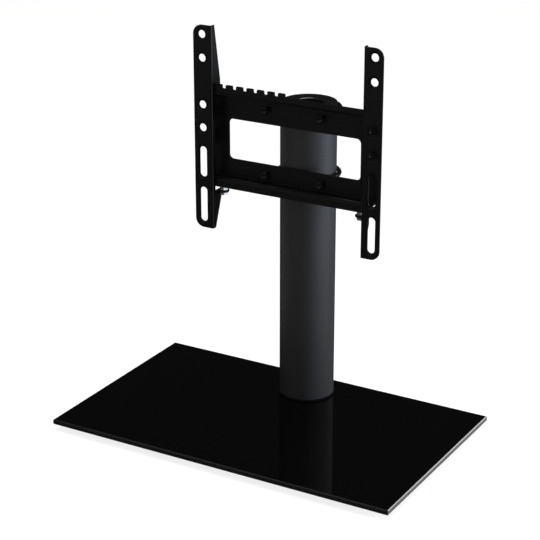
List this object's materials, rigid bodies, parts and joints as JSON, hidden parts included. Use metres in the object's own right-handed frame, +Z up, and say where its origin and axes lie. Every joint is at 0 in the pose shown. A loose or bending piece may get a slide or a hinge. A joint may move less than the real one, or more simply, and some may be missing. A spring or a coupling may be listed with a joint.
{
  "type": "tv stand with mount",
  "caption": "Table-top TV stand: black glass base, round column, and a clamped rail with two hook-on slotted arms.",
  "frame": {"origin": "middle of the glass base's outline, on the surface that the feet stand on", "axes": "+Z up, -Y towards the front where the television goes, +X to the right as seen from the front"},
  "size_m": [0.4, 0.24, 0.4242],
  "materials": {
    "black_glass": "polished, back-painted black",
    "black_rubber": "matt",
    "column_paint": "satin powder coat",
    "mount_paint": "satin powder coat",
    "black_steel": "black oxide",
    "zinc_steel": "zinc plated",
    "plain_steel": "plain steel",
    "plate_steel": "powder coat",
    "cap_plastic": "satin moulded",
    "nylon": "natural nylon"
  },
  "bodies": {
    "base": {"glass_base": "black_glass", "foot_front_left": "black_rubber", "foot_front_right": "black_rubber", "foot_back_left": "black_rubber", "foot_back_right": "black_rubber", "load_plate": "plate_steel", "load_pad": "black_rubber", "hole_bush": "nylon", "column_gasket": "black_rubber"},
    "column": {"column_tube": "column_paint", "column_plug": "plain_steel", "centre_bolt": "zinc_steel", "column_cap": "cap_plastic", "cable_grommet": "black_rubber"},
    "rail": {"rail_plate": "mount_paint", "u_bolt_upper": "black_steel", "u_bolt_lower": "black_steel", "clamp_washers": "black_steel", "clamp_nuts": "black_steel"},
    "left_arm": {"left_arm": "mount_paint", "left_lock_nut": "zinc_steel"},
    "left_washer": {"left_lock_washer": "zinc_steel"},
    "left_screw": {"left_lock_screw": "zinc_steel"},
    "right_arm": {"right_arm": "mount_paint", "right_lock_nut": "zinc_steel"},
    "right_washer": {"right_lock_washer": "zinc_steel"},
    "right_screw": {"right_lock_screw": "zinc_steel"}
  },
  "joints": [
    {"name": "column_swivel", "type": "hinge", "parent": "base", "child": "column", "pos_m": [0, 0.08, 0.015], "axis": [0, 0, 1], "continuous": true},
    {"name": "mount_height", "type": "slide", "parent": "column", "child": "rail", "axis": [0, 0, 1], "range_m": [-0.18, 0]},
    {"name": "left_arm_lift", "type": "slide", "parent": "rail", "child": "left_arm", "axis": [0, 0, 1], "range_m": [0, 0.0044]},
    {"name": "right_arm_shift", "type": "slide", "parent": "rail", "child": "right_arm", "axis": [1, 0, 0], "range_m": [-0.085, 0.004]},
    {"name": "left_lock_travel", "type": "slide", "parent": "left_arm", "child": "left_washer", "axis": [0, 0, 1], "range_m": [-0.006, 0]},
    {"name": "left_lock_turn", "type": "hinge", "parent": "left_washer", "child": "left_screw", "pos_m": [-0.082, 0.0425, 0.245], "axis": [0, 0, 1], "range_deg": [-2700, 0]},
    {"name": "right_lock_travel", "type": "slide", "parent": "right_arm", "child": "right_washer", "axis": [0, 0, 1], "range_m": [-0.006, 0]},
    {"name": "right_lock_turn", "type": "hinge", "parent": "right_washer", "child": "right_screw", "pos_m": [0.082, 0.0425, 0.245], "axis": [0, 0, 1], "range_deg": [-2700, 0]}
  ],
  "couplings": [
    {"joint": "left_lock_turn", "follows": "left_lock_travel", "rad_per_m": 7854},
    {"joint": "right_lock_turn", "follows": "right_lock_travel", "rad_per_m": 7854}
  ]
}
